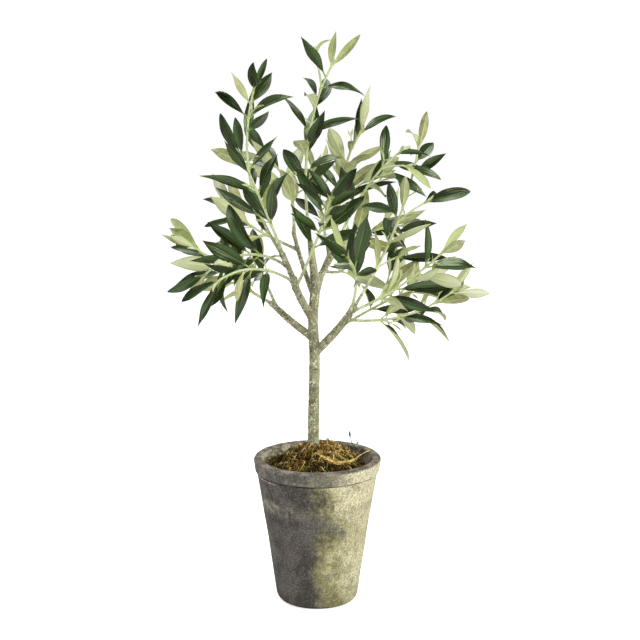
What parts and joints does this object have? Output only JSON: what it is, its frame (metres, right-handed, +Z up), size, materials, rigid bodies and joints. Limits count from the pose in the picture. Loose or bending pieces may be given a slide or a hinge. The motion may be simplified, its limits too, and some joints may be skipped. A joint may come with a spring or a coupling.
{
  "type": "artificial potted olive tree",
  "caption": "Artificial olive tree with an open crown of leafy sprays on a slender bark-covered trunk, standing in moss in a tapered clay pot.",
  "frame": {"origin": "centre of the pot's flat underside", "axes": "+Z up along the pot's axis, -Y towards the front that the picture shows, +X towards its right-hand side"},
  "size_m": [0.3451, 0.2557, 0.6078],
  "materials": {
    "clay": "matte",
    "fill": "matte",
    "moss": "matte",
    "bark": "matte",
    "leaf": "satin"
  },
  "bodies": {
    "root": {"pot": "clay", "planting_fill": "fill", "moss": "moss", "trunk": "bark", "bough_right_low": "bark", "bough_left_low": "bark", "bough_left_mid": "bark", "bough_left_top": "bark", "bough_back_right": "bark", "bough_back_left": "bark", "bough_right_up": "bark", "spray_top": "leaf", "spray_left_top": "leaf", "spray_left_high": "leaf", "spray_left_far": "leaf", "spray_left_front": "leaf", "spray_left_low": "leaf", "spray_left_back": "leaf", "spray_back_high": "leaf", "spray_back_left": "leaf", "spray_front": "leaf", "spray_right_high": "leaf", "spray_right_crest": "leaf", "spray_right_top": "leaf", "spray_right_mid": "leaf", "spray_right_far": "leaf", "spray_right_low": "leaf", "spray_right_front": "leaf", "spray_right_back": "leaf", "spray_back": "leaf", "spray_back_low": "leaf"}
  },
  "joints": []
}
